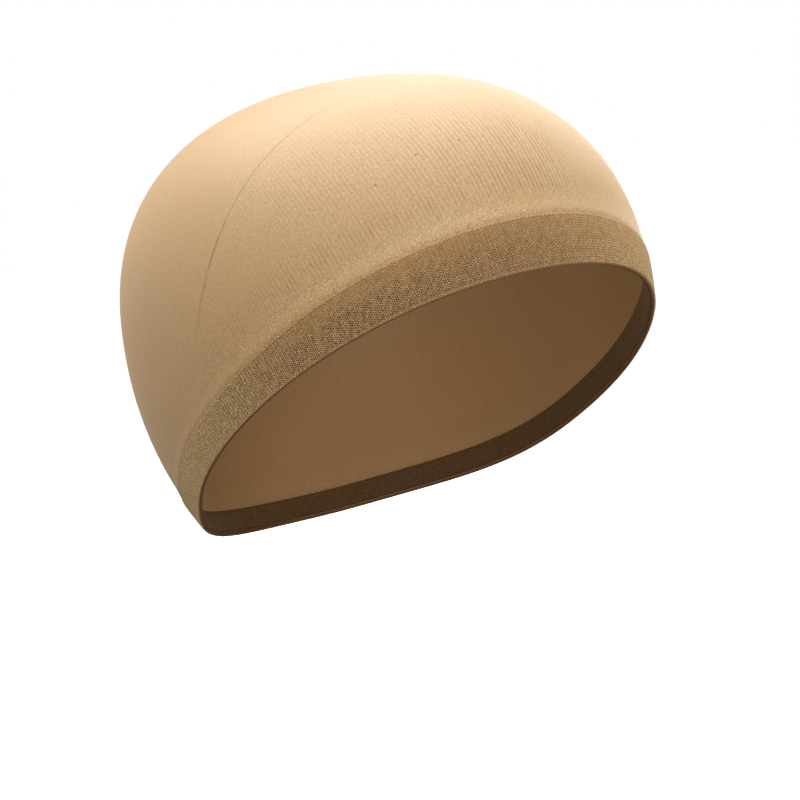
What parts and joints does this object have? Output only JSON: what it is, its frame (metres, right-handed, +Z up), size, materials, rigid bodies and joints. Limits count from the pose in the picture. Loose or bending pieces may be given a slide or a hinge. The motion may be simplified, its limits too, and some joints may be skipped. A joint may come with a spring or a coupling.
{
  "type": "stocking wig cap",
  "caption": "Close-fitting stretch knit cap worn under a wig: a sheer dome with a closing seam, a denser elastic rim band and a fine rolled edge, open below for the head.",
  "frame": {"origin": "centre of the head opening on the wearer's vertical head axis, midway in height between the front and the back of the rim", "axes": "+Z up to the top of the head, -Y towards the forehead, +X towards the wearer's left, with the head held level"},
  "size_m": [0.153, 0.1903, 0.1454],
  "materials": {
    "crown_knit": "sheer ribbed nylon knit, light tan, faint sheen",
    "strip_knit": "closer ribbed nylon knit, light tan",
    "band_knit": "dense matt elastic knit, brown tan",
    "edge_thread": "rolled edge, dark brown thread"
  },
  "bodies": {
    "root": {"crown": "crown_knit", "shadow_strip": "strip_knit", "rim_band": "band_knit", "rim_edge": "edge_thread"}
  },
  "joints": []
}
